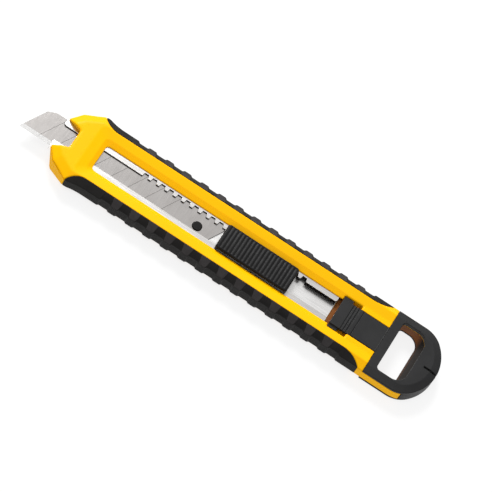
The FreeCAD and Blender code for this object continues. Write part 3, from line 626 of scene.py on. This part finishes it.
def grip_columns(row, front, rear):
    """(x, depth of the valley there) along one row. Valleys are deepest on the side wall."""
    share = row[0]
    start, end = grip_end(row, front, rear, True), grip_end(row, front, rear, False)
    wide = (VALLEY_ROOT + (VALLEY_MOUTH - VALLEY_ROOT) * share) / 2
    narrow = VALLEY_ROOT / 2
    first = front + VALLEY_FIRST
    last = first + VALLEY_PITCH * (VALLEY_COUNT - 1)
    columns = []
    for i in range(FRONT_COLUMNS):
        columns.append((start + (first - wide - start) * i / FRONT_COLUMNS, 0.0))
    for i in range(VALLEY_COUNT):
        centre = first + VALLEY_PITCH * i
        depth = VALLEY_DEPTH * share
        columns += [(centre - wide, 0.0), (centre - narrow, depth)]
        columns += [(centre + narrow, depth), (centre + wide, 0.0)]
    for i in range(1, REAR_COLUMNS + 1):
        columns.append((last + wide + (end - last - wide) * i / REAR_COLUMNS, 0.0))
    return columns


def make_grip(node, side, material, pad_material):
    """One rubber strip. The side is 1 for +Y and -1 for -Y."""
    low, high = corners(node)
    bm = bmesh.new()
    grid = []
    for row in grip_rows():
        line = []
        for x, depth in grip_columns(row, low.x, high.x):
            half, ridge = grip_outline(x, low.x)
            y, z = row[1](half, ridge, depth)
            line.append(bm.verts.new((x * MM, y * side * MM, z * MM)))
        grid.append(line)
    count = len(grid)
    for r in range(count):
        upper, lower = grid[r], grid[(r + 1) % count]
        for c in range(len(upper) - 1):
            face = bm.faces.new((upper[c], upper[c + 1], lower[c + 1], lower[c]))
            column = c - FRONT_COLUMNS
            between = column % VALLEY_COLUMNS == VALLEY_COLUMNS - 1
            pad = between and 0 < column < VALLEY_COLUMNS * VALLEY_COUNT - 1
            # the pads' faces get the paler rubber, a painted sheen
            face.material_index = int(pad and r < FACET_ROWS)
    for end in (0, -1):
        bm.faces.new([line[end] for line in grid])
    bmesh.ops.remove_doubles(bm, verts=bm.verts, dist=MERGE_DISTANCE * MM)
    bmesh.ops.recalc_face_normals(bm, faces=bm.faces)
    set_bevels(bm, lambda edge: GRIP_ROUNDING)
    piece = to_object(bm, f"{node}_rubber", [material, pad_material])
    round_off(piece)
    stand_for(piece, node, "handle")


# ---- blade, holder and pin ----

# Limits of a face's normal
UPRIGHT = 0.3
FACING_DOWN = -0.5
FACING_BACK = 0.3

SKIN = 0.1  # how near a side or a top a face has to be to count as part of it
HOLDER_FLOOR = 1.0
BLADE_TAIL = 90.0  # from the blade's tip
BLADE_TOP_SKIN = 0.01
GROUND_EDGE = -6.9
FLAT_ANGLE = 4.0


def make_holder(material, shade, lips):
    """The channel. Its inside walls and its lips' cut edges and undersides get painted shade, and
    its lips' tops are a darker copy of its steel, also painted shade.
    """
    painted_shade_slot, lip = 1, 2  # places in the list of materials
    low, high = corners("blade_holder")
    bm = copy_of("blade_holder")
    for face in bm.faces:
        middle = face.calc_center_median() / MM
        inner_wall = abs(face.normal.z) < UPRIGHT and abs(middle.y) < high.y - SKIN
        above_floor = middle.z > low.z + HOLDER_FLOOR
        # inside walls and lip undersides get painted shade
        if above_floor and (inner_wall or face.normal.z < FACING_DOWN):
            face.material_index = painted_shade_slot
        # the lips' tops get the darker steel, painted shade
        elif middle.z > high.z - SKIN:
            face.material_index = lip
    set_bevels(bm, lambda edge: HOLDER_ROUNDING)
    piece = to_object(bm, "holder_channel", [material, shade, lips])
    round_off(piece)
    stand_for(piece, "blade_holder", "handle")


def make_blade(steel, edge_steel, shade, score):
    """The plate, with painted shade in its score lines and on its slanted tail, and its ground edge
    bright.
    """
    plain, ground, painted_shade_slot, scored = range(4)  # places in the list of materials
    low, high = corners("blade")
    bm = copy_of("blade")
    for face in bm.faces:
        middle = face.calc_center_median() / MM
        along = abs(face.normal.y) > abs(face.normal.x)
        to_bottom = min(v.co.z for v in face.verts) < (low.z + SKIN) * MM
        if to_bottom:
            tail = middle.x > low.x + BLADE_TAIL and face.normal.x > FACING_BACK
            face.material_index = painted_shade_slot if tail else plain
        elif middle.z < high.z - BLADE_TOP_SKIN:
            face.material_index = ground if along and middle.y < GROUND_EDGE else scored
    for edge in bm.edges:
        edge.smooth = angle_of(edge) < FLAT_ANGLE
    piece = to_object(bm, "snap_blade", [steel, edge_steel, shade, score])
    stand_for(piece, "blade", "slide")


def make_pin(material):
    top = corners("blade_pin")[1].z
    bm = copy_of("blade_pin")
    set_bevels(bm, lambda edge: PIN_ROUNDING if lies_at(edge, top) else NO_ROUNDING)
    piece = to_object(bm, "blade_stud", [material])
    round_off(piece, FINE_SEGMENTS)
    stand_for(piece, "blade_pin", "slide")


# ---- slider ----

SLIDE_BASE = 7.9
SLIDE_CORNER = 1.6
SLIDE_RIM = 0.9
RIB_PITCH = 2.09
RIB_COUNT = 19
RIB_DEPTH = 0.22
RIB_SHARPNESS = 1.5
RIB_HALF = 7.1
RIB_SIDE_FADE = 0.5
RIB_END_FADE = 0.3
RIB_STEPS = 10
HALF_STEPS = 10
FADE_LINES = (-6.9, 6.9, -6.75, 6.75)
RIM_CLEARANCE = 0.05
CROWN = 0.25
NECK_INSET = 2.0
NECK_OVERLAP = 0.1
NECK_LOW, NECK_HIGH = -5.1, 2.9  # the lock spring lies beyond the neck's high side
RIM_STEPS = (0.0, 0.06, 0.16, 0.32, 0.52, 0.74, 0.9)


def smooth_step(value):
    t = min(1.0, max(0.0, value))
    return t * t * (3 - 2 * t)


def slide_lines(low, high, inner):
    """Grid lines: close together round the rim, and the inner ones between."""
    lines = [low + step for step in RIM_STEPS]
    clear = SLIDE_RIM + RIM_CLEARANCE
    lines += [v for v in inner if low + clear < v < high - clear]
    lines += [high - step for step in reversed(RIM_STEPS)]
    return lines


def slide_point(x, y, low, high):
    """A grid point moved into the rounded outline and down over the rim and the grooves."""
    middle_x, half_x = (low.x + high.x) / 2, (high.x - low.x) / 2
    half_y = high.y
    away_x, away_y = abs(x - middle_x) - (half_x - SLIDE_CORNER), abs(y) - (half_y - SLIDE_CORNER)
    rim = min(half_x - abs(x - middle_x), half_y - abs(y))
    first = middle_x - RIB_PITCH * (RIB_COUNT - 1) / 2
    wave = 0.5 + 0.5 * math.cos(2 * math.pi * (x - first) / RIB_PITCH)
    sides = smooth_step((RIB_HALF - abs(y)) / RIB_SIDE_FADE)
    ends = smooth_step((RIB_PITCH * RIB_COUNT / 2 - abs(x - middle_x)) / RIB_END_FADE)
    z = high.z - RIB_DEPTH * wave**RIB_SHARPNESS * sides * ends
    z -= CROWN * (y / half_y) ** 2
    if rim < SLIDE_RIM:
        z -= SLIDE_RIM - math.sqrt(SLIDE_RIM**2 - (SLIDE_RIM - rim) ** 2)
    if away_x > 0 and away_y > 0:
        length = math.hypot(away_x, away_y)
        scale = max(away_x, away_y) / length
        x = middle_x + math.copysign(half_x - SLIDE_CORNER + away_x * scale, x - middle_x)
        y = math.copysign(half_y - SLIDE_CORNER + away_y * scale, y)
    return x, y, z


def add_block(bm, low, high):
    """A closed box."""
    made = bmesh.ops.create_cube(bm, size=1.0)
    for vert in made["verts"]:
        for axis in range(3):
            vert.co[axis] = (high[axis] if vert.co[axis] > 0 else low[axis]) * MM


def make_slide(material):
    """The ribbed plate, closed below, and the neck that joins it to the carrier."""
    low, high = corners("slider_button")
    middle = (low.x + high.x) / 2
    first = middle - RIB_PITCH * RIB_COUNT / 2
    across = [first + RIB_PITCH * i / RIB_STEPS for i in range(RIB_COUNT * RIB_STEPS + 1)]
    along = [-RIB_HALF + RIB_HALF * i / HALF_STEPS for i in range(2 * HALF_STEPS + 1)]
    xs = slide_lines(low.x, high.x, across)
    ys = slide_lines(low.y, high.y, sorted([*along, *FADE_LINES]))
    bm = bmesh.new()
    grid = [[bm.verts.new([c * MM for c in slide_point(x, y, low, high)]) for y in ys] for x in xs]
    for a, b in zip(grid, grid[1:]):
        for k in range(len(ys) - 1):
            bm.faces.new((a[k], b[k], b[k + 1], a[k + 1]))
    border = [line[0] for line in grid] + grid[-1][1:]
    border += [line[-1] for line in reversed(grid[:-1])] + grid[0][-2:0:-1]
    foot = [bm.verts.new((v.co.x, v.co.y, SLIDE_BASE * MM)) for v in border]
    for k in range(len(border)):
        following = (k + 1) % len(border)
        bm.faces.new((border[k], foot[k], foot[following], border[following]))
    bm.faces.new(foot)
    neck_low = (low.x + NECK_INSET, NECK_LOW, low.z)
    neck_high = (high.x - NECK_INSET, NECK_HIGH, SLIDE_BASE + NECK_OVERLAP)
    add_block(bm, neck_low, neck_high)
    bmesh.ops.recalc_face_normals(bm, faces=bm.faces)
    piece = to_object(bm, "thumb_slide", [material])
    weigh_normals(piece)
    stand_for(piece, "slider_button", "slide")


# ---- cap and latch ----

def make_cap(material):
    """The sleeve. Round its top face, the sharper edges get the smaller rounding."""
    top = corners("end_cap")[1].z
    bm = copy_of("end_cap")

    def rounding(edge):
        if not lies_at(edge, top):
            return CAP_ROUNDING
        sharp = angle_of(edge) > CAP_SHARP_TOP_ROUNDING[1]
        return CAP_SHARP_TOP_ROUNDING if sharp else CAP_TOP_ROUNDING

    set_bevels(bm, rounding)
    piece = to_object(bm, "cap_sleeve", [material])
    round_off(piece, FINE_SEGMENTS)
    stand_for(piece, "end_cap", "cap")


def make_latch(material):
    bm = copy_of("cap_latch")
    set_bevels(bm, lambda edge: LATCH_ROUNDING)
    piece = to_object(bm, "release_tab", [material])
    round_off(piece)
    stand_for(piece, "cap_latch", "latch")


def make_floor(material):
    bm = bmesh.new()
    bmesh.ops.create_grid(
        bm, x_segments=FLOOR_CELLS, y_segments=FLOOR_CELLS, size=FLOOR_HALF * MM
    )
    floor = to_object(bm, "floor", [material])
    floor.location.z = cad_box[0].z


def paint(node, material):
    """A CAD node that keeps its own shape."""
    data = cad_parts[node].data
    data.materials.clear()
    data.materials.append(material)


make_camera()
make_lights()
make_floor(floor_paper())

yellow = yellow_shell()
rubber = grip_rubber()
plastic = black_plastic()
bright_steel = holder_steel()
steel_for_painted_shade = painted_shade_steel()
pad = grip_pad_painted_sheen()
make_front_shell(yellow)
make_back_shell(yellow, hole_wall())
make_grip("grip_left", 1, rubber, pad)
make_grip("grip_right", -1, rubber, pad)
make_holder(bright_steel, steel_for_painted_shade, lip_painted_shade())
make_blade(blade_steel(), ground_edge(), steel_for_painted_shade, score_painted_shade())
make_pin(black_pin())
make_slide(slide_plastic())
make_cap(plastic)
make_latch(plastic)
paint("slider_carrier", bright_steel)
paint("carrier_rivets", bright_steel)
paint("lock_spring", spring_steel())

bpy.context.scene.view_settings.view_transform = "Standard"
